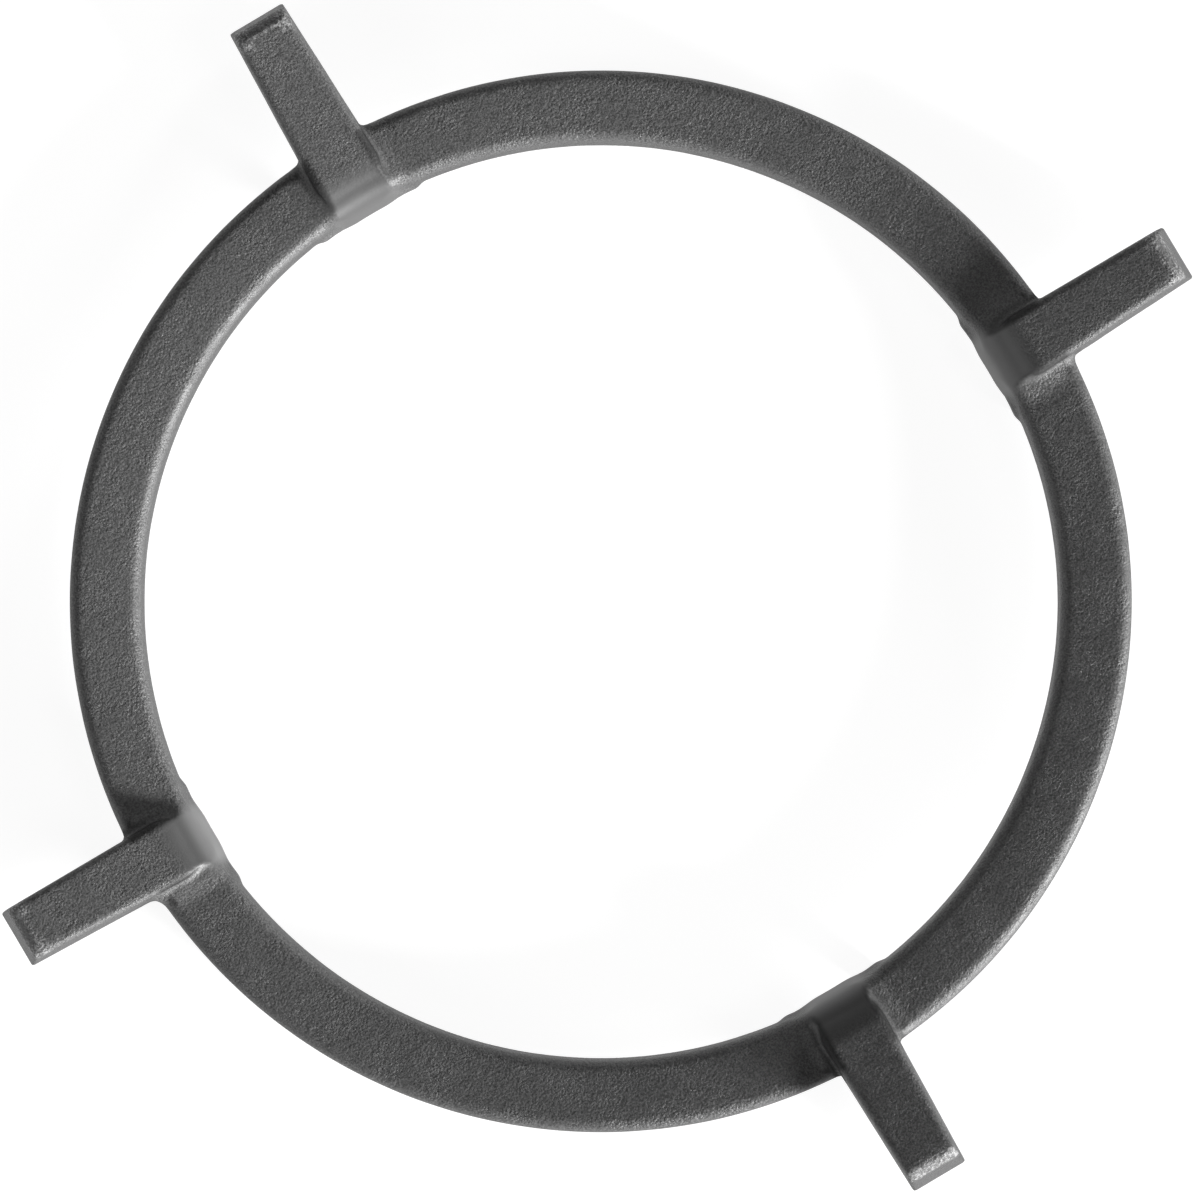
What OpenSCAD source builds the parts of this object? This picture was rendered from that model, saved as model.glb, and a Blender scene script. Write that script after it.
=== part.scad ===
// Cast iron wok ring: a crowned ring with four raised arms, cast in one piece.
// The arms slope down to the bore, where a round-bottomed pan sits on their rounded inner ends.
// Origin: on the ring's axis, level with the feet of the locating lugs. +Z is up, millimetres.

/* [Ring] */
// Outside diameter of the ring
ring_d = 213; // [190:1:240]
// Width of the ring's band, from the bore's wall to the outside
band_w = 14.2; // [12:0.1:20]
// Height of the ring, from its underside to its crown
ring_h = 9; // [8:0.5:13]
// Radius of the rounded outer edge
outer_edge_r = 3.2; // [1.5:0.1:4]
// Radius of the rounded inner edge
inner_edge_r = 2; // [1:0.1:3]
// Slope of the crown towards the bore beside the outer edge, in degrees
crown_slope = 4; // [0:0.5:6]
// Radius of the crown, which falls more steeply as it nears the bore
crown_r = 140; // [100:1:300]
// Draft of the ring's outer and inner walls, in degrees
wall_draft = 1.5; // [0:0.1:3]

/* [Arms] */
// How far an arm reaches out past the ring
arm_reach = 31; // [15:0.5:45]
// Width of an arm's underside where it leaves the ring
arm_root_w = 13.6; // [11:0.1:18]
// Width of an arm's underside at its tip
arm_tip_w = 12.4; // [9:0.1:15]
// Height of an arm's top above the crown, at the ring's outside
arm_rise = 4.5; // [3.5:0.1:7]
// Slope of an arm's top down towards the bore, in degrees
arm_slope = 9; // [3:0.5:12]
// Draft of an arm's sides, in degrees
arm_draft = 2; // [0.5:0.1:4]
// Radius of an arm's long top edges
arm_edge_r = 1.4; // [0.6:0.1:2]
// Radius over which an arm's top turns down into the bore
nose_r = 7; // [5.5:0.1:8]
// How far an arm's inner end stands proud of the bore
nose_proud = 0.3; // [0.1:0.1:0.8]
// Length of the bevel at an arm's tip
tip_bevel = 1.6; // [0.8:0.1:2.5]
// Slope of an arm's end face from the upright, in degrees
tip_draft = 13; // [2:0.5:16]

/* [Fillets] */
// Radius of the cove between an arm's side and the ring's top
cove_r = 2.8; // [1.5:0.1:3.5]
// Radius of the wider cove at an arm's inner end
flare_r = 4.6; // [3.6:0.1:6]
// Radius in plan of the flare at an arm's inner end
flare_plan_r = 4.4; // [3:0.1:6]
// Width of the rim that the flare leaves beside the bore
flare_rim = 0.6; // [0.3:0.1:1.2]
// Radius in plan of the corner between an arm and the ring's outside
root_r = 1.8; // [1:0.1:3]

/* [Lugs] */
// How far the locating lugs reach below the ring
lug_drop = 4; // [2.5:0.1:7]
// Gap between the two lugs under an arm
lug_gap = 13; // [9:0.1:15]
// Length of a lug along the ring
lug_l = 4.8; // [3.5:0.1:7]
// Thickness of a lug, measured out from the bore
lug_t = 4.5; // [3.5:0.1:7]
// Radius of a lug's foot edges
lug_foot_r = 1.2; // [0.5:0.1:1.6]

/* [Hidden] */
ARM_COUNT = 4;
STEPS = 6;        // chords in each rounded edge
NOSE_STEPS = 10;  // chords in the larger round of an arm's nose
SINK = 0.12;      // how deep a cove is sunk into what it blends with
EDGE_LIFT = 0.03; // how far an edge's round is kept outside the faces that it joins
LUG_ROOT = 1;     // how far a lug is carried up into the ring
MARGIN = 1;       // how far a cutter runs past what it cuts
REACH = 400;      // longer than anything that is cut
$fn = 180;

ring_r = ring_d / 2;
bore_r = ring_r - band_w;
tip_x = ring_r + arm_reach;

// Crown: one arc that starts in the outer edge's rounding and falls towards the bore
crown_x = ring_r - outer_edge_r;
crown_c = [
    crown_x + sin(crown_slope) * (crown_r - outer_edge_r),
    ring_h - outer_edge_r - cos(crown_slope) * (crown_r - outer_edge_r)
];
inner_edge_x = bore_r + inner_edge_r;
inner_edge_z = crown_c[1] + sqrt(pow(crown_r - inner_edge_r, 2) - pow(crown_c[0] - inner_edge_x, 2));
crown_end = 90 + asin((crown_c[0] - inner_edge_x) / (crown_r - inner_edge_r));

// Arm's top line: its height at the ring's outside, then where the nose starts
arm_top_z = ring_h + arm_rise;
nose_x = bore_r - nose_proud + nose_r;
nose_end_x = nose_x - nose_r * sin(arm_slope);
nose_end_z = top_z(nose_end_x);
nose_z = nose_end_z - nose_r * cos(arm_slope);
tip_z = top_z(tip_x);
arm_taper = atan((arm_root_w - arm_tip_w) / 2 / (tip_x - ring_r));

// How far the root corner reaches out past the ring, beside an arm
root_reach = sqrt(pow(ring_r + root_r, 2) - pow(arm_root_w / 2 + root_r, 2)) - ring_r;

// Points of an arc about c, from angle a0 to a1, in n chords
function arc(c, r, a0, a1, n = STEPS) = [
    for (i = [0:n]) c + r * [cos(a0 + (a1 - a0) * i / n), sin(a0 + (a1 - a0) * i / n)]
];

// Height of an arm's top above the ring's underside, at the distance x from the axis
function top_z(x) = arm_top_z + tan(arm_slope) * (x - ring_r);

// Height of the ring's crown at the distance x from the axis
function crown_z(x) = crown_c[1] + sqrt(pow(crown_r, 2) - pow(crown_c[0] - x, 2));

// Half the width of an arm at the distance x from the axis and the height z
function arm_half(x, z) = arm_root_w / 2 - tan(arm_taper) * (x - ring_r) - tan(arm_draft) * z;

// The ring's section, right of the axis
module ring_section() {
    polygon(concat(
        [[bore_r - tan(wall_draft) * inner_edge_z, 0], [ring_r + tan(wall_draft) * (ring_h - outer_edge_r), 0]],
        arc([crown_x, ring_h - outer_edge_r], outer_edge_r, 0, 90 + crown_slope),
        arc(crown_c, crown_r, 90 + crown_slope, crown_end),
        arc([inner_edge_x, inner_edge_z], inner_edge_r, crown_end, 180)
    ));
}

// An arm's side view: nose, sloping top, bevelled tip and flat underside
module arm_section() {
    end_z = tip_z - tip_bevel;
    polygon(concat(
        [
            [bore_r - nose_proud - tan(wall_draft) * nose_z, 0],
            [tip_x, 0],
            [tip_x - tan(tip_draft) * end_z, end_z],
            [tip_x - tan(tip_draft) * end_z - tip_bevel, top_z(tip_x - tip_bevel)]
        ],
        arc([nose_x, nose_z], nose_r, 90 + arm_slope, 180, NOSE_STEPS)
    ));
}

// Everything on the near side of an arm's tapered and drafted flank
module flank(side) {
    translate([ring_r, side * arm_root_w / 2, 0])
        rotate([0, 0, -side * arm_taper])
            rotate([side * arm_draft, 0, 0])
                translate([-REACH / 2, side > 0 ? -REACH / 2 : 0, -REACH / 2])
                    cube([REACH, REACH / 2, REACH]);
}

// What is cut away to round one long top edge of an arm
module top_edge_cut(side) {
    start = [bore_r, arm_half(bore_r, top_z(bore_r)), top_z(bore_r)];
    end = [tip_x, arm_half(tip_x, tip_z), tip_z];
    run = end - start;
    corner = arm_edge_r + MARGIN;
    inset = arm_edge_r * (1 - sin(arm_draft)) / cos(arm_draft) - EDGE_LIFT;
    translate([start[0], side * (start[1] - inset), start[2] - arm_edge_r + EDGE_LIFT])
        rotate([0, 0, side * atan2(run[1], run[0])])
            rotate([0, -atan2(run[2], run[0]), 0])
                rotate([90, 0, 90])
                    scale([side, 1, 1])
                        linear_extrude(norm(run) + 2 * MARGIN)
                            polygon(concat(
                                [[corner, 0], [corner, corner], [0, corner]],
                                arc([0, 0], arm_edge_r, 90, arm_draft)
                            ));
}

// The bar of one arm, along +X
module arm_bar() {
    difference() {
        intersection() {
            rotate_extrude() arm_section();
            flank(1);
            flank(-1);
            translate([0, -ring_r / 2, -MARGIN]) cube([REACH, ring_r, REACH]);
        }
        top_edge_cut(1);
        top_edge_cut(-1);
    }
}

// The inner end of an arm turned about the ring's axis, out to the radius far
module nose_turned(far) {
    rotate_extrude()
        intersection() {
            arm_section();
            square([far, REACH]);
        }
}

// Section across an arm of the coves at its foot, of radius r, on a floor at the height foot_z
module cove_section(r, half_w, foot_z) {
    floor_z = foot_z - SINK;
    flank_y = half_w - SINK;
    right = arc([flank_y + r, floor_z + r], r, 270, 180);
    polygon(concat(
        [[-flank_y - r, 0], [flank_y + r, 0]],
        right,
        [for (i = [STEPS:-1:0]) [-right[i][0], right[i][1]]]
    ));
}

// The coves along both sides of an arm, where it crosses the ring
module side_coves() {
    run = crown_x - inner_edge_x;
    fall = crown_z(crown_x) - crown_z(inner_edge_x);
    half_w = arm_half(ring_r, ring_h);
    intersection() {
        translate([crown_x, 0, 0])
            rotate([0, -atan(fall / run), 0])
                translate([-REACH / 2, 0, 0])
                    rotate([90, 0, 90])
                        linear_extrude(REACH) cove_section(cove_r, half_w, ring_h);
        nose_turned(REACH);
        linear_extrude(REACH) collar_plan(half_w);
        collar_turned();
    }
}

// Plan of the coves: they narrow to nothing as they run out over the ring's rounded outer edge
module collar_plan(half_w) {
    y_out = half_w + cove_r;
    polygon([
        [0, -y_out], [crown_x, -y_out], [ring_r + root_reach, -half_w],
        [ring_r + root_reach, half_w], [crown_x, y_out], [0, y_out]
    ]);
}

// A rounded outer edge that stands proud of the ring's own by the reach of the root corner
module collar_turned() {
    r = outer_edge_r + cove_r;
    rotate_extrude() {
        square([ring_r + root_reach - r, ring_h + cove_r]);
        square([ring_r + root_reach, ring_h - outer_edge_r]);
        intersection() {
            translate([ring_r + root_reach - r, ring_h - outer_edge_r]) circle(r);
            square([REACH, REACH]);
        }
    }
}

// The wider coves that flare an arm's inner end out along the bore
module inner_flares() {
    near_x = bore_r + flare_rim;
    foot_z = inner_edge_z + sqrt(pow(inner_edge_r, 2) - pow(inner_edge_x - near_x, 2));
    half_w = arm_half(bore_r, foot_z);
    wide = half_w + flare_r;
    bend = arc([near_x + flare_plan_r, wide], flare_plan_r, 180, 270);
    intersection() {
        rotate([90, 0, 90]) linear_extrude(REACH) cove_section(flare_r, half_w, foot_z);
        nose_turned(near_x + flare_plan_r);
        linear_extrude(REACH)
            polygon(concat(
                [[0, -wide], [0, wide]],
                bend,
                [for (i = [STEPS:-1:0]) [bend[i][0], -bend[i][1]]]
            ));
    }
}

// The corners in plan between an arm's sides and the ring's outside wall
module root_corners() {
    half_w = arm_root_w / 2;
    corner_y = half_w + root_r;
    corner_x = sqrt(pow(ring_r + root_r, 2) - pow(corner_y, 2));
    difference() {
        translate([ring_r - outer_edge_r, -corner_y * ring_r / (ring_r + root_r), 0])
            cube([
                corner_x - ring_r + outer_edge_r,
                2 * corner_y * ring_r / (ring_r + root_r),
                ring_h - outer_edge_r
            ]);
        for (side = [-1, 1])
            translate([corner_x, side * corner_y, -MARGIN]) cylinder(r = root_r + SINK / 2, h = ring_h + MARGIN);
    }
}

// The two lugs under an arm's inner end, with a gap between them for a pan support's finger
module lug_pair() {
    inner_x = bore_r - nose_proud;
    outer_x = bore_r + lug_t;
    lean = tan(wall_draft) * lug_drop;
    intersection() {
        translate([0, 0, -lug_drop])
            rotate_extrude()
                polygon(concat(
                    [[inner_x - lean, lug_drop + LUG_ROOT]],
                    arc([inner_x - lean + lug_foot_r, lug_foot_r], lug_foot_r, 180, 270),
                    arc([outer_x - lug_foot_r, lug_foot_r], lug_foot_r, 270, 360),
                    [[outer_x + lean, lug_drop + LUG_ROOT]]
                ));
        for (side = [-1, 1])
            translate([0, side * (lug_gap + lug_l) / 2, -lug_drop])
                rotate([90, 0, 90])
                    linear_extrude(REACH)
                        polygon(concat(
                            [[lug_l / 2 + lean, lug_drop + LUG_ROOT], [-lug_l / 2 - lean, lug_drop + LUG_ROOT]],
                            arc([lug_foot_r - lug_l / 2, lug_foot_r], lug_foot_r, 180, 270),
                            arc([lug_l / 2 - lug_foot_r, lug_foot_r], lug_foot_r, 270, 360)
                        ));
    }
}

// The ring by itself, turned about its axis
module ring_body() {
    rotate_extrude() ring_section();
}

// One arm along +X, with all that belongs to it
module arm() {
    arm_bar();
    side_coves();
    inner_flares();
    root_corners();
    lug_pair();
}

// The whole casting, lifted so that its lugs' feet are at height 0
module wok_ring() {
    color("#4a4a4b")
        translate([0, 0, lug_drop]) {
            ring_body();
            for (i = [0:ARM_COUNT - 1])
                rotate(i * 360 / ARM_COUNT) arm();
        }
}

wok_ring();
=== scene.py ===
# %% [markdown]
# # A cast iron wok ring
# The ring sits on a gas hob's pan support and holds a round-bottomed wok over the flame. It is one
# casting: a crowned ring, four raised arms that slope down to the bore, and small locating lugs
# underneath. Molten iron was poured into a sand mould, so every edge is rounded, every inside
# corner is filled with a cove, and the skin carries the grain of the sand.
#
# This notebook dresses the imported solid. It builds the casting again as one smooth mesh with
# Geometry Nodes, gives it a sand-cast finish, and lights it as the photograph does.

# %% Load the solid that everything has to fit
import math

import bpy
from mathutils import Matrix, Vector


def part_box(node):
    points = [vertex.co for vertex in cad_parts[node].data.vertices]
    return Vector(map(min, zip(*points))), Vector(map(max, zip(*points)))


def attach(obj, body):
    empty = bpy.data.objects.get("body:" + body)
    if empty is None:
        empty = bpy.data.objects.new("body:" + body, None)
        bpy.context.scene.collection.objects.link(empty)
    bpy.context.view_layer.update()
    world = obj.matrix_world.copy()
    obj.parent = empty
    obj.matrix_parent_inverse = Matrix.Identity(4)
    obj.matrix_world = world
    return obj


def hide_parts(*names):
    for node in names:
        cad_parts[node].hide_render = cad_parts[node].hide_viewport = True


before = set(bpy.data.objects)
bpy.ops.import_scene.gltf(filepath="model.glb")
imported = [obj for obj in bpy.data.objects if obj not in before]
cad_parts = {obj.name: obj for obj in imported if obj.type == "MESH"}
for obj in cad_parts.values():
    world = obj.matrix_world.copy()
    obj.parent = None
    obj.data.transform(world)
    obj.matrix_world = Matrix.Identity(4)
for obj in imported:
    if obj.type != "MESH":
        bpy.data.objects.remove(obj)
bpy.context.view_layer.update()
ring_low, ring_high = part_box("wok_ring")
print("The solid spans", [round(side, 4) for side in ring_high - ring_low], "metres")

# %% [markdown]
# ## Sizes
# A pattern maker writes the sizes down once and works everything else out from them. The overall
# reach comes from the solid. The others are named here in metres, with slopes in degrees, and they
# are the same sizes that the solid was built from.

# %% Write down the casting's sizes
MM = 0.001
TIP_RADIUS = ring_high.x
FOOT_DROP = 4 * MM
RING_RADIUS = 106.5 * MM
BORE_RADIUS = 92.3 * MM
RING_HEIGHT = 9 * MM
ARM_RISE = 4.5 * MM
OUTER_EDGE = 2.6 * MM
INNER_EDGE = 2 * MM
CROWN_CURVE = 140 * MM
CROWN_SLOPE = math.radians(4)
NOSE_ROUND = 7 * MM
ARM_SLOPE = math.radians(9)
WALL_DRAFT, NOSE_DRAFT = math.radians(1.5), math.radians(9)
ARM_DRAFT = math.radians(2)
TIP_DRAFT = math.radians(13)
print("Arms reach", round((TIP_RADIUS - RING_RADIUS) / MM, 2), "mm past the ring")

# %% [markdown]
# ## Camera
# The photograph looks down on the ring, almost straight. The first arm points about 31 degrees above
# the right-hand edge, so the camera is rolled by that angle. It stands a little to the lower right of
# the ring's middle: the bore's wall shows wider on the far side, and the arms seem to spring from a
# point that lies a little beyond the ring's centre. A camera is aimed by building its three axes, as
# the usual trackers lose their sense of up when they look straight down.

# %% Place the camera over the ring
FRAME_PX = 1195
MM_PER_PX = 0.2
ROLL = math.radians(30.7)
CAMERA_HEIGHT = 0.9
SENSOR = 36.0
EYE_RIGHT_PX, EYE_DOWN_PX = 75, 135
AIM_RIGHT_PX, AIM_DOWN_PX = -2, -2

crown_height = FOOT_DROP + RING_HEIGHT
photo_width = FRAME_PX * MM_PER_PX * MM


def photo_direction(degrees):
    """A direction on the table, from its angle in the photograph, anticlockwise from the right."""
    angle = math.radians(degrees) - ROLL
    return math.cos(angle), math.sin(angle)


def photo_point(right_px, down_px):
    """A place on the table, from pixels to the right of and below the ring's middle."""
    right, up = photo_direction(0), photo_direction(90)
    step = MM_PER_PX * MM
    return tuple(step * (right_px * right[i] - down_px * up[i]) for i in range(2))


eye = Vector((*photo_point(EYE_RIGHT_PX, EYE_DOWN_PX), CAMERA_HEIGHT))
aim = Vector((*photo_point(AIM_RIGHT_PX, AIM_DOWN_PX), crown_height))
backward = (eye - aim).normalized()
rightward = Vector((*photo_direction(0), 0))
rightward = (rightward - rightward.dot(backward) * backward).normalized()
upward = backward.cross(rightward)

lens = bpy.data.cameras.new("camera")
lens.sensor_width = SENSOR
lens.lens = SENSOR * (eye - aim).length / photo_width
lens.clip_start = 0.01
camera = bpy.data.objects.new("camera", lens)
turned = Matrix((rightward, upward, backward)).transposed().to_4x4()
camera.matrix_world = Matrix.Translation(eye) @ turned
bpy.context.scene.collection.objects.link(camera)
bpy.context.scene.camera = camera
bpy.context.scene.view_settings.view_transform = "Standard"
print("Lens", round(lens.lens, 1), "mm, camera at", [round(x, 4) for x in camera.location])

# %% [markdown]
# ## Light
# The photograph has soft lamps that stand low, at the lower right: they rake over the skin and pick
# out every grain that faces them. Little comes from above, where the camera is. The lamps stand far
# away for something this small, so each is a sun with a wide disc. It is placed by its angle in the
# photograph and its height above the table.

# %% Set up the lamps
def lamp(name, degrees, height_degrees, disc_degrees, strength):
    """A soft lamp, far away in the given direction, that shines on the ring's middle."""
    light = bpy.data.lights.new(name, "SUN")
    light.angle = math.radians(disc_degrees)
    light.energy = strength
    thing = bpy.data.objects.new(name, light)
    east, north = photo_direction(degrees)
    lift = math.radians(height_degrees)
    away = Vector((math.cos(lift) * east, math.cos(lift) * north, math.sin(lift)))
    thing.location = away
    thing.rotation_euler = away.to_track_quat("Z", "Y").to_euler()
    bpy.context.scene.collection.objects.link(thing)
    return thing


lamps = [
    lamp("low_lamp", 325, 11.5, 13, 8.8),
    lamp("upper_lamp", 335, 50, 20, 0.25),
    lamp("side_lamp", 52, 15, 14, 1.0),
    lamp("left_fill", 205, 28, 40, 0.7),
]
print("Lamps:", [thing.name for thing in lamps])

# %% [markdown]
# ## Table and surroundings
# The ring lies on white. A white floor shows a soft shadow, and white surroundings shine back in
# the steep walls, which the camera sees edge-on. To keep lamps at a plain level, the background's
# brightness is not made with more light: camera and mirror rays simply find white there.

# %% Make the white surroundings and the floor
HORIZON, CEILING = 1.0, 0.02
HORIZON_RISE, CEILING_RISE = 0.0, 0.35
FLOOR_SIZE = 3.0
FLOOR_GLOW = 0.9
FLOOR_WHITE = 0.3


def seen_directly(tree):
    """A value of 1 for rays that come from the camera or from a mirroring surface."""
    path = tree.nodes.new("ShaderNodeLightPath")
    either = tree.nodes.new("ShaderNodeMath")
    either.operation = "MAXIMUM"
    tree.links.new(path.outputs["Is Camera Ray"], either.inputs[0])
    tree.links.new(path.outputs["Is Glossy Ray"], either.inputs[1])
    every = tree.nodes.new("ShaderNodeMath")
    every.operation = "MAXIMUM"
    tree.links.new(either.outputs[0], every.inputs[0])
    tree.links.new(path.outputs["Is Transmission Ray"], every.inputs[1])
    return every.outputs[0]


def ranged(tree, value, low, high):
    """Turns a value of 0 to 1 into one of low to high."""
    node = tree.nodes.new("ShaderNodeMapRange")
    node.inputs["To Min"].default_value = low
    node.inputs["To Max"].default_value = high
    tree.links.new(value, node.inputs["Value"])
    return node.outputs["Result"]


world = bpy.data.worlds.new("white_surroundings")
world.use_nodes = True
studio = world.node_tree
sky = studio.nodes["Background"]
sky.inputs["Color"].default_value = (1, 1, 1, 1)
direction = studio.nodes.new("ShaderNodeTexCoord")
rise = studio.nodes.new("ShaderNodeSeparateXYZ")
studio.links.new(direction.outputs["Generated"], rise.inputs[0])
fade = studio.nodes.new("ShaderNodeMapRange")
fade.interpolation_type = "SMOOTHSTEP"
fade.inputs["From Min"].default_value = HORIZON_RISE
fade.inputs["From Max"].default_value = CEILING_RISE
fade.inputs["To Min"].default_value = HORIZON
fade.inputs["To Max"].default_value = CEILING
studio.links.new(rise.outputs["Z"], fade.inputs["Value"])
straight = studio.nodes.new("ShaderNodeLightPath")
choice = studio.nodes.new("ShaderNodeMath")
choice.operation = "MAXIMUM"
studio.links.new(fade.outputs["Result"], choice.inputs[0])
studio.links.new(straight.outputs["Is Camera Ray"], choice.inputs[1])
studio.links.new(choice.outputs[0], sky.inputs["Strength"])
bpy.context.scene.world = world

paper = bpy.data.materials.new("white_floor")
paper.use_nodes = True
paper_shader = paper.node_tree.nodes["Principled BSDF"]
paper_shader.inputs["Base Color"].default_value = (FLOOR_WHITE, FLOOR_WHITE, FLOOR_WHITE, 1)
paper_shader.inputs["Roughness"].default_value = 1
paper_shader.inputs["Specular IOR Level"].default_value = 0
paper_shader.inputs["Emission Color"].default_value = (1, 1, 1, 1)
paper.node_tree.links.new(
    ranged(paper.node_tree, seen_directly(paper.node_tree), 0, FLOOR_GLOW),
    paper_shader.inputs["Emission Strength"],
)

bpy.ops.mesh.primitive_plane_add(size=FLOOR_SIZE)
floor = bpy.context.object
floor.name = "floor"
floor.data.materials.append(paper)
print("Floor", FLOOR_SIZE, "m square at height", floor.location.z)

# %% [markdown]
# ## How the casting is shaped
# A casting is hard to model by pushing points about, because everything in it runs into everything
# else. It is easy to describe as a distance: how far is a point from the skin, counted as negative
# inside the iron? Two shapes join where the smaller distance wins, and what two walls share is
# where the larger one wins. Near a corner, both rules can be rounded off by a true radius, and that
# is just what a foundry's fillets and edge rounds are.
#
# Geometry Nodes can work such a distance out for every point of a grid. The tree is a long sum, so
# it is written here with a small helper: each sum or product of two wires adds a Math node.

# %% Write node sums as ordinary sums
class Wire:
    """A value on its way through a node tree. Arithmetic on it adds Math nodes to the tree."""

    def __init__(self, socket):
        self.socket = socket
        self.tree = socket.id_data

    def math(self, operation, *others):
        return node_math(self.tree, operation, self, *others)

    def __add__(self, other):
        return self.math("ADD", other)

    def __sub__(self, other):
        return self.math("SUBTRACT", other)

    def __rsub__(self, other):
        return node_math(self.tree, "SUBTRACT", other, self)

    def __mul__(self, other):
        return self.math("MULTIPLY", other)

    def __truediv__(self, other):
        return self.math("DIVIDE", other)

    __radd__ = __add__
    __rmul__ = __mul__


def feed(tree, socket, value):
    """Gives an input socket a wire or a plain value."""
    if isinstance(value, Wire):
        tree.links.new(value.socket, socket)
    else:
        socket.default_value = value


def node_math(tree, operation, *values):
    """One Math node, with its result as a wire."""
    node = tree.nodes.new("ShaderNodeMath")
    node.operation = operation
    for socket, value in zip(node.inputs, values):
        feed(tree, socket, value)
    return Wire(node.outputs[0])


def length(a, b):
    """The length of a line that goes a one way and b the other."""
    return a.math("MULTIPLY_ADD", a, b * b).math("SQRT")


def ramp(value, start, end, low, high):
    """Changes smoothly from low to high while the value goes from start to end."""
    node = value.tree.nodes.new("ShaderNodeMapRange")
    node.interpolation_type = "SMOOTHSTEP"
    names = ("Value", "From Min", "From Max", "To Min", "To Max")
    for name, given in zip(names, (value, start, end, low, high)):
        feed(value.tree, node.inputs[name], given)
    return Wire(node.outputs["Result"])


def edge(a, b, radius):
    """What two shapes share, with the edge between them rounded to a radius."""
    near_a = (a + radius).math("MAXIMUM", 0.0)
    near_b = (b + radius).math("MAXIMUM", 0.0)
    inside = (a.math("MAXIMUM", b) + radius).math("MINIMUM", 0.0) - radius
    return inside + length(near_a, near_b)


def cove(a, b, radius):
    """Two shapes joined, with the corner between them filled to a radius."""
    near_a = (radius - a).math("MAXIMUM", 0.0)
    near_b = (radius - b).math("MAXIMUM", 0.0)
    outside = a.math("MINIMUM", b).math("MAXIMUM", radius)
    return outside - length(near_a, near_b)


print("Helpers are ready: edge() rounds an edge, cove() fills a corner")

# %% [markdown]
# ## The four arms are not quite alike
# A casting leaves the pattern with small differences: the arms in the photograph differ by a
# millimetre in reach and lean a degree to one side or the other. These are the maker's notes for
# each arm, in millimetres, measured at the arm's foot where it leaves the ring and at its tip. A
# positive side is the one reached by turning anticlockwise.

# %% Note down how each arm differs
ARM_NOTES = {
    "short of full reach": (1.1, 0.0, 1.05, 2.9),
    "side at root": (7.05, 7.3, 6.2, 6.7),
    "side at tip": (6.95, 6.15, 5.1, 5.6),
    "other side at root": (6.5, 7.4, 7.45, 7.2),
    "other side at tip": (5.1, 6.45, 7.45, 6.4),
    "cove": (1.3, 1.4, 1.4, 1.4),
    "other cove": (1.5, 1.3, 1.1, 0.8),
    "corner": (0.6, 1.2, 3.0, 0.9),
    "other corner": (1.8, 1.2, 1.0, 0.6),
    "lug stands in": (0.45, 0.45, 0.05, 0.0),
}
for note, values in ARM_NOTES.items():
    print(f"{note}: {values} mm")

# %% [markdown]
# ## The distance to the skin
# The ring is turned, so its distance needs only the radius and the height. An arm needs its own
# directions: along it, across it and up. The nearest of the four quarter turns gives them, and an
# Index Switch picks that arm's notes. The bore's wall is cut last, with a radius that is small round
# the ring and grows to the arm's nose, so the nose flares out into the ring by itself.

# %% Describe the casting as a distance
QUARTER = math.pi / 2
ARM_COUNT = 4
CREST_RADIUS = RING_RADIUS - OUTER_EDGE
ARM_EDGE = 1.4 * MM
TIP_EDGE = 0.5 * MM
TIP_BEVEL = 1.6 * MM
COVE_ENDS = 3.5 * MM
FLARE_COVE = 2.2 * MM
FLARE_WIDE = 2.0 * MM
SWELL = 0.8 * MM
SWELL_FROM = 6.5 * MM
SWELL_TO = 11 * MM
FLARE_LONG = 6 * MM
FOOT_EDGE = 0.7 * MM
WALL_PROUD = 0.3 * MM
NOSE_FOOT = 3.5 * MM
PROUD_FROM = 9 * MM
PROUD_TO = 13 * MM
LUG_LENGTH = 4.8 * MM
LUG_THICK = 4.5 * MM
LUG_OUT = 8.9 * MM
LUG_ROOT = 1.5 * MM
LUG_EDGE = 1.0 * MM


def arm_note(index, note):
    """The note of the nearest arm, as a wire in metres."""
    node = index.tree.nodes.new("GeometryNodeIndexSwitch")
    node.data_type = "FLOAT"
    while len(node.index_switch_items) < ARM_COUNT:
        node.index_switch_items.new()
    feed(index.tree, node.inputs["Index"], index)
    for socket, value in zip(list(node.inputs)[1:], ARM_NOTES[note]):
        socket.default_value = value * MM
    return Wire(node.outputs[0])


def ring_upper(radius, height):
    """The ring without its bore and underside: outer wall and crown."""
    wall = radius + (height - RING_HEIGHT) * math.tan(WALL_DRAFT) - RING_RADIUS
    lead = CROWN_CURVE - OUTER_EDGE
    middle = CREST_RADIUS + lead * math.sin(CROWN_SLOPE)
    depth = RING_HEIGHT - OUTER_EDGE - lead * math.cos(CROWN_SLOPE)
    crown = length(radius - middle, height - depth) - CROWN_CURVE
    return edge(wall, crown, OUTER_EDGE)


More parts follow.
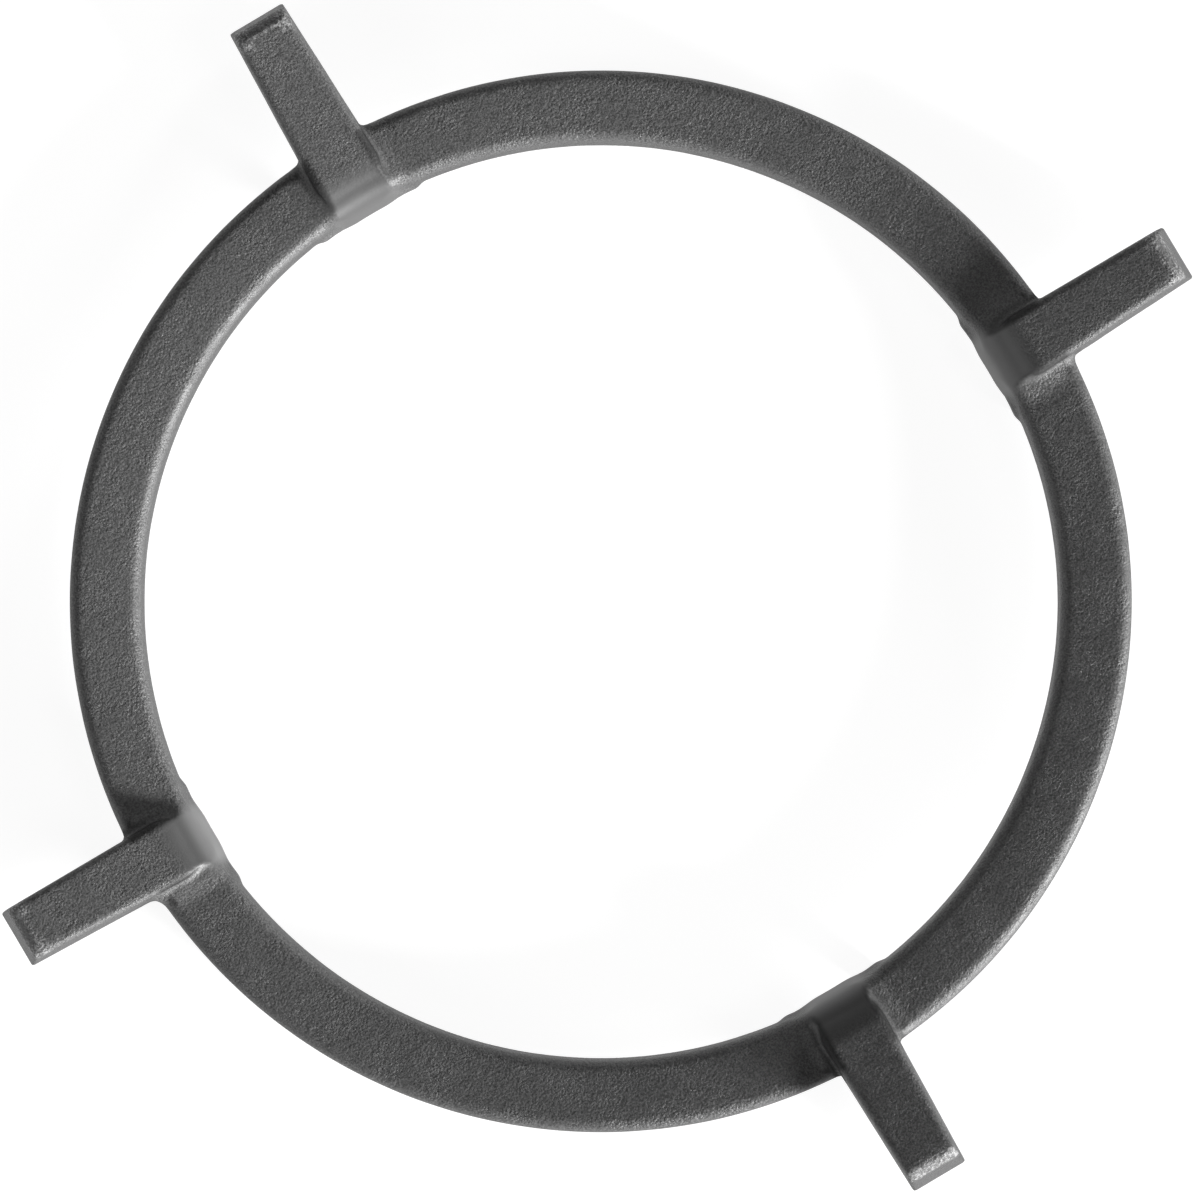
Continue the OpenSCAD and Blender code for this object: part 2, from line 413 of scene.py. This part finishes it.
def arm_upper(index, radius, along, across, height):
    """An arm without its inner end and underside: sloping top, drafted sides, bevelled tip."""
    outward = along - RING_RADIUS
    share = outward / (TIP_RADIUS - RING_RADIUS)
    inward = ramp(radius, BORE_RADIUS, BORE_RADIUS + FLARE_LONG, 1.0, 0.0)
    widening = inward * inward * FLARE_WIDE - height * math.tan(ARM_DRAFT)
    flanks = []
    for side, sideways in (("side", across), ("other side", 0.0 - across)):
        root, tip = arm_note(index, side + " at root"), arm_note(index, side + " at tip")
        flanks.append(sideways - (root + (tip - root) * share) - widening)
    top_height = outward * math.tan(ARM_SLOPE) + (RING_HEIGHT + ARM_RISE)
    top = (height - top_height) * math.cos(ARM_SLOPE)
    end_at = TIP_RADIUS - arm_note(index, "short of full reach")
    end = (along - end_at + height * math.tan(TIP_DRAFT)) * math.cos(TIP_DRAFT)
    bevel = (top + end + TIP_BEVEL) * math.sqrt(0.5)
    upper = edge(top, bevel, TIP_EDGE)
    for flank in flanks:
        upper = edge(upper, flank, ARM_EDGE)
    return edge(upper, end, TIP_EDGE)


def cove_radius(index, radius, across):
    """How big the corner beside an arm is filled: by its side, and wider towards the bore."""
    far = RING_RADIUS - COVE_ENDS
    sides = []
    for side in ("other ", ""):
        cove_there, corner_there = arm_note(index, side + "cove"), arm_note(index, side + "corner")
        sides.append(ramp(radius, far, RING_RADIUS, cove_there, corner_there))
    beside = ramp(across, -MM, MM, *sides)
    return ramp(radius, BORE_RADIUS, BORE_RADIUS + FLARE_LONG, FLARE_COVE, beside)


def lug(index, radius, across, height):
    """Both locating lugs of an arm: rounded blocks under the bore's wall."""
    stands_in = arm_note(index, "lug stands in")
    middle = BORE_RADIUS + LUG_THICK / 2 - stands_in
    thick = (radius - middle).math("ABSOLUTE") - LUG_THICK / 2
    long = (across.math("ABSOLUTE") - LUG_OUT).math("ABSOLUTE") - LUG_LENGTH / 2
    foot = 0.0 - height - FOOT_DROP
    block = edge(edge(thick, long, LUG_EDGE), foot, LUG_EDGE)
    return block.math("MAXIMUM", height - LUG_ROOT)


def casting_distance():
    """The node group that gives the distance from a point to the casting's skin, in metres."""
    tree = bpy.data.node_groups.new("Distance to the skin", "GeometryNodeTree")
    tree.interface.new_socket("Point", in_out="INPUT", socket_type="NodeSocketVector")
    tree.interface.new_socket("Distance", in_out="OUTPUT", socket_type="NodeSocketFloat")
    given = tree.nodes.new("NodeGroupInput")
    split = tree.nodes.new("ShaderNodeSeparateXYZ")
    tree.links.new(given.outputs["Point"], split.inputs[0])
    x, y, z = (Wire(socket) for socket in split.outputs)
    height = z - FOOT_DROP
    radius = length(x, y)
    turn = y.math("ARCTAN2", x) / QUARTER
    nearest = turn.math("ROUND")
    index = nearest.math("FLOORED_MODULO", ARM_COUNT)
    angle = nearest * QUARTER
    east, north = angle.math("COSINE"), angle.math("SINE")
    along = x * east + y * north
    across = y * east - x * north

    sideways = across.math("ABSOLUTE")
    arm = arm_upper(index, radius, along, across, height)
    swell = ramp(sideways, SWELL_FROM, SWELL_TO, SWELL, 0)
    proud = ramp(sideways, PROUD_FROM, PROUD_TO, WALL_PROUD, 0)
    leaning = ramp(sideways, PROUD_FROM, PROUD_TO, math.tan(NOSE_DRAFT), math.tan(WALL_DRAFT))
    face_foot = ramp(sideways, PROUD_FROM, PROUD_TO, NOSE_FOOT, RING_HEIGHT)
    bore = (BORE_RADIUS - proud) - radius + (height - face_foot) * leaning
    ring = edge(ring_upper(radius, height - swell), bore, INNER_EDGE)
    nosed = edge(arm, bore, NOSE_ROUND)
    upper = cove(ring, nosed, cove_radius(index, radius, across))
    body = edge(upper, 0.0 - height, FOOT_EDGE)
    whole = cove(body, lug(index, radius, across, height), LUG_EDGE)
    result = tree.nodes.new("NodeGroupOutput")
    feed(tree, result.inputs["Distance"], whole)
    return tree


skin_distance = casting_distance()
print("The distance is worked out by", len(skin_distance.nodes), "nodes")

# %% [markdown]
# ## Iron
# The skin of a sand casting is a print of the sand: packed grains of about half a millimetre, with
# calmer patches where the mould was rammed harder. The matt black coat over it is thin, so every
# grain still glints. Handling rubs it thin on the edges of the arms' tips. Painted shade darkens the
# inside corners, where the coat is also rougher and less shiny, and the arms' top edges beside the
# ring, one nose and the faces seen edge-on; a painted sheen lightens the noses along the bore's edge.
# Each effect is a node group of its own and puts out only a height or a mask, so it can be used
# again. Sizes go in as metres, as the coordinates are the object's own.

# %% Make the iron's effects
GRAIN_SIZE = 0.4 * MM
GRAIN_HEIGHT = 0.15 * MM
GRAIN_LEVEL = 0.68
PATCH_SIZE = 7 * MM


def set_inputs(node, **values):
    """Sets a node's inputs by name, with wires or plain values, and returns the node."""
    for name, value in values.items():
        feed(node.id_data, node.inputs[name.replace("_", " ").title()], value)
    return node


def effect_group(name, inputs, outputs):
    """A shader node group with the named inputs and outputs, and its inputs as wires."""
    tree = bpy.data.node_groups.new(name, "ShaderNodeTree")
    for title, kind in inputs.items():
        tree.interface.new_socket(title, in_out="INPUT", socket_type="NodeSocket" + kind)
    for title in outputs:
        tree.interface.new_socket(title, in_out="OUTPUT", socket_type="NodeSocketFloat")
    given = tree.nodes.new("NodeGroupInput")
    return tree, {title: Wire(given.outputs[title]) for title in inputs}


def put_out(tree, **values):
    """Ends a node group: each named value goes to the output of that name."""
    set_inputs(tree.nodes.new("NodeGroupOutput"), **values)


def noise(tree, place, size, detail, roughness=0.5):
    """Noise of 0 to 1 with features of about the given size."""
    node = tree.nodes.new("ShaderNodeTexNoise")
    set_inputs(node, Vector=place, Scale=1 / size, Detail=detail, Roughness=roughness)
    return Wire(node.outputs["Fac"])


def sand_grain():
    """The print of the sand: packed grains, calmer in some patches than in others."""
    tree, given = effect_group("Sand grain", {"Place": "Vector"}, ["Height", "Speck", "Patch"])
    place = given["Place"]
    cells = tree.nodes.new("ShaderNodeTexVoronoi")
    set_inputs(cells, Vector=place, Scale=1 / (1.4 * GRAIN_SIZE))
    fine = noise(tree, place, GRAIN_SIZE, 4.0, 0.7)
    coarse = noise(tree, place, 4 * GRAIN_SIZE, 1.0)
    patch = ramp(noise(tree, place, PATCH_SIZE, 2.0), 0.35, 0.62, 0.0, 1.0)
    lively = ramp(patch, 0.0, 1.0, 0.6, 1.15)
    height = (fine + coarse - Wire(cells.outputs["Distance"]) * 0.7 - GRAIN_LEVEL) * lively
    put_out(tree, Height=height, Speck=ramp(fine, 0.36, 0.64, 0.0, 1.0), Patch=patch)
    return tree


def edge_wear():
    """Where the coat is rubbed thin: on sharp edges, in scattered chips."""
    tree, given = effect_group("Edge wear", {"Place": "Vector", "Edge": "Float"}, ["Wear"])
    chips = ramp(noise(tree, given["Place"], 0.6 * MM, 3.0, 0.7), 0.45, 0.6, 0.0, 1.0)
    put_out(tree, Wear=chips * ramp(given["Edge"], 0.1, 0.5, 0.0, 1.0))
    return tree


def arm_ends():
    """Where an arm ends: its tip and smooth nose, with masks for a painted sheen at the bore's edge, painted
    shade on one nose and painted shade on the arms' top edges beside the ring.
    """
    tree, given = effect_group("Arm ends", {"Place": "Vector"}, ["Tip", "Nose", "Rubbed", "Sooty", "Root"])
    split = tree.nodes.new("ShaderNodeSeparateXYZ")
    tree.links.new(given["Place"].socket, split.inputs[0])
    x, y, height = (Wire(socket).math("ABSOLUTE") for socket in split.outputs)
    sideways, along = x.math("MINIMUM", y), x.math("MAXIMUM", y)
    tip = ramp(along, TIP_RADIUS - 9.5 * MM, TIP_RADIUS - 7.5 * MM, 0.0, 1.0)
    radius = length(x, y)
    near = ramp(radius, BORE_RADIUS + 4 * MM, BORE_RADIUS + 10 * MM, 1.0, 0.0)
    # The arms' top edges beside the ring get painted shade through the Root mask.
    beside = ramp(radius, RING_RADIUS - 2 * MM, RING_RADIUS, 1.0, 0.0)
    beside = beside * ramp(height, 11 * MM, 13 * MM, 0.0, 1.0)
    wide = ramp(sideways, 5 * MM, 9 * MM, 1.0, 0.0)
    # Painted shade on the nose of the arm along +Y: its colour is darkened there.
    shaded_nose = ramp(Wire(split.outputs["Y"]), 0.8 * BORE_RADIUS, 0.9 * BORE_RADIUS, 0.0, 1.0)
    put_out(
        tree,
        Tip=tip * ramp(height, 17 * MM, 19.5 * MM, 0.0, 1.0),
        Nose=near * wide,
        # Sheen: a painted sheen, lighter colour on the noses along the bore's edge.
        Rubbed=ramp(radius, BORE_RADIUS, BORE_RADIUS + 3.5 * MM, 1.0, 0.0) * wide,
        Sooty=near * wide * shaded_nose,
        Root=beside * ramp(sideways, 4.5 * MM, 6 * MM, 0.0, 1.0) * ramp(sideways, 9 * MM, 11 * MM, 1.0, 0.0),
    )
    return tree


def painted_corner_shade():
    """Painted shade in the inside corners, with an uneven border; the same mask makes the coat rougher and
    less shiny there.
    """
    tree, given = effect_group("Pooled coat", {"Place": "Vector", "Hollow": "Float"}, ["Pool"])
    uneven = given["Hollow"] + (noise(tree, given["Place"], 3 * MM, 2.0) - 0.5) * 0.5
    put_out(tree, Pool=ramp(uneven, 0.0, 0.9, 0.0, 1.0))
    return tree


EFFECTS = {"grain": sand_grain(), "wear": edge_wear(), "painted_shade": painted_corner_shade(), "ends": arm_ends()}
print("Effects:", [tree.name for tree in EFFECTS.values()])

# %% Put the iron together
COAT_DARK, COAT_LIGHT = 0.048, 0.12
# Painted shade: the colour of the darkened inside corners and of the arms' top edges beside the ring.
CORNER_PAINTED_SHADE = 0.025
NOSE_SHADE = 0.06
# Painted sheen: the lighter nose colour along the bore's edge.
BORE_PAINTED_SHEEN = 0.13
# Painted shade: the share of the nose colour kept on the arm along +Y.
NOSE_PAINTED_SHADE = 0.45
# Painted shade on the arms' top edges beside the ring, as a share of the corner shade.
ROOT_PAINTED_SHADE = 0.8
BARE_IRON = 0.3
COAT_ROUGH, COAT_SMOOTH = 0.46, 0.42
CORNER_ROUGH = 0.6
NOSE_ROUGH = 0.48
BARE_ROUGH = 0.38
COAT_SHINE, CORNER_SHINE = 0.5, 0.1
NOSE_SHINE = 0.6
NOSE_GRAIN = 0.06
# How far painted shade darkens faces seen edge-on.
GRAZING_FROM, GRAZING_TO = 0.5, 0.97
GRAZING_LEFT = 0.4


def effect(tree, name, **inputs):
    """A use of one of the effects in a material. Returns its outputs as wires."""
    node = tree.nodes.new("ShaderNodeGroup")
    node.node_tree = EFFECTS[name]
    set_inputs(node, **inputs)
    return [Wire(socket) for socket in node.outputs]


def stored(tree, name):
    """A value that the casting's tree stored on the mesh."""
    node = tree.nodes.new("ShaderNodeAttribute")
    node.attribute_name = name
    return Wire(node.outputs["Fac"])


def between(share, low, high):
    """The value that lies the given share of the way from low to high."""
    return low + (high - low) * share


def cast_iron():
    """Iron under a thin matt black coat."""
    material = bpy.data.materials.new("cast_iron")
    material.use_nodes = True
    tree = material.node_tree
    shader = tree.nodes["Principled BSDF"]
    place = Wire(tree.nodes.new("ShaderNodeTexCoord").outputs["Object"])
    height, speck, patch = effect(tree, "grain", Place=place)
    tip, nose, painted_sheen, shaded_nose, root = effect(tree, "ends", Place=place)
    chips, = effect(tree, "wear", Place=place, Edge=stored(tree, "edge"))
    wear = chips * tip
    # Painted shade in the inside corners and on the arms' top edges beside the ring; there the coat is also
    # rougher and less shiny.
    painted_shade, = effect(tree, "painted_shade", Place=place, Hollow=stored(tree, "hollow"))
    painted_shade = painted_shade.math("MAXIMUM", root * stored(tree, "edge") * ROOT_PAINTED_SHADE)

    # Painted shade: faces seen edge-on get a darker colour and less shine, except on the noses.
    facing = Wire(tree.nodes.new("ShaderNodeLayerWeight").outputs["Facing"])
    edge_on_painted_shade = between(nose, ramp(facing, GRAZING_FROM, GRAZING_TO, 1.0, GRAZING_LEFT), 1.0)

    # The nose colour carries a painted sheen along the bore's edge and painted shade on the arm along +Y.
    nose_shade = between(painted_sheen, NOSE_SHADE, BORE_PAINTED_SHEEN) * between(shaded_nose, 1.0, NOSE_PAINTED_SHADE)
    coat_shade = between(nose, between(speck, COAT_DARK, COAT_LIGHT), nose_shade)
    shade = between(wear, between(painted_shade, coat_shade, CORNER_PAINTED_SHADE), BARE_IRON) * edge_on_painted_shade
    colour = tree.nodes.new("ShaderNodeCombineColor")
    for socket in colour.inputs:
        feed(tree, socket, shade)
    tree.links.new(colour.outputs[0], shader.inputs["Base Color"])
    skin = between(nose, between(patch, COAT_ROUGH, COAT_SMOOTH), NOSE_ROUGH)
    coat = between(painted_shade, skin, CORNER_ROUGH)
    feed(tree, shader.inputs["Roughness"], between(wear, coat, BARE_ROUGH))
    feed(tree, shader.inputs["Specular IOR Level"], between(painted_shade, between(nose, COAT_SHINE, NOSE_SHINE), CORNER_SHINE) * edge_on_painted_shade)

    bump = tree.nodes.new("ShaderNodeBump")
    bump.inputs["Distance"].default_value = GRAIN_HEIGHT
    feed(tree, bump.inputs["Height"], height * between(nose, 1.0, NOSE_GRAIN))
    tree.links.new(bump.outputs["Normal"], shader.inputs["Normal"])
    return material


iron = cast_iron()
print("Iron has", len(iron.node_tree.nodes), "nodes")

# %% [markdown]
# ## Growing the casting
# The tree fills a box with voxels, works the distance out at each of them and wraps a mesh round
# the iron.

# %% Grow the casting from its distance
VOXEL = 0.68 * MM
MARGIN = 2 * MM
FITTINGS = 3
UNEVEN_SIZE = 14 * MM
UNEVENNESS = 0.12 * MM
EDGE_PROBE, EDGE_LOST = 3 * MM, 0.4 * MM
HOLLOW_PROBE, HOLLOW_LOST = 3.2 * MM, 1.8 * MM


def group_input(tree, name, kind, value):
    """Adds a named input to a tree, with its usual value."""
    socket = tree.interface.new_socket(name, in_out="INPUT", socket_type=kind)
    socket.default_value = value
    return socket


def distance_at(tree, point):
    """A use of the distance group at a point, given as a socket."""
    node = tree.nodes.new("GeometryNodeGroup")
    node.node_tree = skin_distance
    tree.links.new(point, node.inputs["Point"])
    return Wire(node.outputs["Distance"])


def along_normal(tree, distance):
    """A step along the skin's normal, as a socket."""
    step = tree.nodes.new("ShaderNodeVectorMath")
    step.operation = "SCALE"
    tree.links.new(tree.nodes.new("GeometryNodeInputNormal").outputs[0], step.inputs[0])
    feed(tree, step.inputs["Scale"], distance)
    return step.outputs[0]


def moved(tree, skin, distance):
    """The skin with every point moved along its normal."""
    node = tree.nodes.new("GeometryNodeSetPosition")
    tree.links.new(skin, node.inputs["Geometry"])
    tree.links.new(along_normal(tree, distance), node.inputs["Offset"])
    return node.outputs[0]


def stored_on(tree, skin, name, value):
    """The skin with a value stored on its points for the material to use."""
    node = tree.nodes.new("GeometryNodeStoreNamedAttribute")
    node.inputs["Name"].default_value = name
    tree.links.new(skin, node.inputs["Geometry"])
    feed(tree, node.inputs["Value"], value)
    return node.outputs[0]


def probe(tree, reach, lost):
    """How bent the skin is: a probe along the normal comes nearer to the skin than its reach."""
    tip = tree.nodes.new("ShaderNodeVectorMath")
    tree.links.new(tree.nodes.new("GeometryNodeInputPosition").outputs[0], tip.inputs[0])
    tree.links.new(along_normal(tree, reach), tip.inputs[1])
    found = distance_at(tree, tip.outputs[0]).math("ABSOLUTE")
    return ((abs(reach) - found) / lost).math("MAXIMUM", 0.0).math("MINIMUM", 1.0)


def casting_tree():
    """The Geometry Nodes tree that grows the casting."""
    tree = bpy.data.node_groups.new("Grow the casting", "GeometryNodeTree")
    tree.interface.new_socket("Geometry", in_out="INPUT", socket_type="NodeSocketGeometry")
    group_input(tree, "Low corner", "NodeSocketVector", (0, 0, 0))
    group_input(tree, "High corner", "NodeSocketVector", (0, 0, 0))
    group_input(tree, "Voxel", "NodeSocketFloat", VOXEL)
    group_input(tree, "Unevenness", "NodeSocketFloat", UNEVENNESS)
    tree.interface.new_socket("Finish", in_out="INPUT", socket_type="NodeSocketMaterial")
    tree.interface.new_socket("Geometry", in_out="OUTPUT", socket_type="NodeSocketGeometry")
    given = tree.nodes.new("NodeGroupInput").outputs
    here = tree.nodes.new("GeometryNodeInputPosition").outputs[0]

    box = tree.nodes.new("GeometryNodeVolumeCube")
    tree.links.new(given["Low corner"], box.inputs["Min"])
    tree.links.new(given["High corner"], box.inputs["Max"])
    feed(tree, box.inputs["Density"], distance_at(tree, here) * (-1 / MM))
    box.inputs["Background"].default_value = -1
    low, high = tree.nodes.new("ShaderNodeSeparateXYZ"), tree.nodes.new("ShaderNodeSeparateXYZ")
    tree.links.new(given["Low corner"], low.inputs[0])
    tree.links.new(given["High corner"], high.inputs[0])
    for axis in "XYZ":
        span = Wire(high.outputs[axis]) - Wire(low.outputs[axis])
        feed(tree, box.inputs["Resolution " + axis], span / Wire(given["Voxel"]) + 1)

    wrap = tree.nodes.new("GeometryNodeVolumeToMesh")
    wrap.inputs["Threshold"].default_value = 0
    tree.links.new(box.outputs[0], wrap.inputs["Volume"])

    skin = wrap.outputs[0]
    for _ in range(FITTINGS):
        skin = moved(tree, skin, distance_at(tree, here) * -1)
    skin = stored_on(tree, skin, "edge", probe(tree, -EDGE_PROBE, EDGE_LOST))
    skin = stored_on(tree, skin, "hollow", probe(tree, HOLLOW_PROBE, HOLLOW_LOST))
    sinking = noise(tree, Wire(here), UNEVEN_SIZE, 2.0) * Wire(given["Unevenness"])
    skin = moved(tree, skin, sinking * -1)

    smooth = tree.nodes.new("GeometryNodeSetShadeSmooth")
    tree.links.new(skin, smooth.inputs[0])
    whole = tree.nodes.new("GeometryNodeRealizeInstances")
    tree.links.new(smooth.outputs[0], whole.inputs[0])
    finish = tree.nodes.new("GeometryNodeSetMaterial")
    tree.links.new(whole.outputs[0], finish.inputs["Geometry"])
    tree.links.new(given["Finish"], finish.inputs["Material"])
    result = tree.nodes.new("NodeGroupOutput")
    tree.links.new(finish.outputs[0], result.inputs["Geometry"])
    return tree


def grow(name, tree, settings):
    """Runs a tree on an empty mesh and returns what it makes as a plain mesh object."""
    seed = bpy.data.objects.new(name, bpy.data.meshes.new(name))
    bpy.context.scene.collection.objects.link(seed)
    modifier = seed.modifiers.new("grow", "NODES")
    modifier.node_group = tree
    for item in tree.interface.items_tree:
        if item.in_out == "INPUT" and item.name in settings:
            modifier[item.identifier] = settings[item.name]
    graph = bpy.context.evaluated_depsgraph_get()
    made = bpy.data.meshes.new_from_object(seed.evaluated_get(graph), depsgraph=graph)
    seed.modifiers.remove(modifier)
    seed.data = made
    made.name = name
    return seed


casting = grow("ring_casting", casting_tree(), {
    "Low corner": [x - MARGIN for x in ring_low],
    "High corner": [x + MARGIN for x in ring_high],
    "Voxel": VOXEL,
    "Unevenness": UNEVENNESS,
    "Finish": iron,
})
casting.data.calc_loop_triangles()
print("The casting has", len(casting.data.loop_triangles), "triangles")

# %% Put it on the frame
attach(casting, "root")
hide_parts("wok_ring")
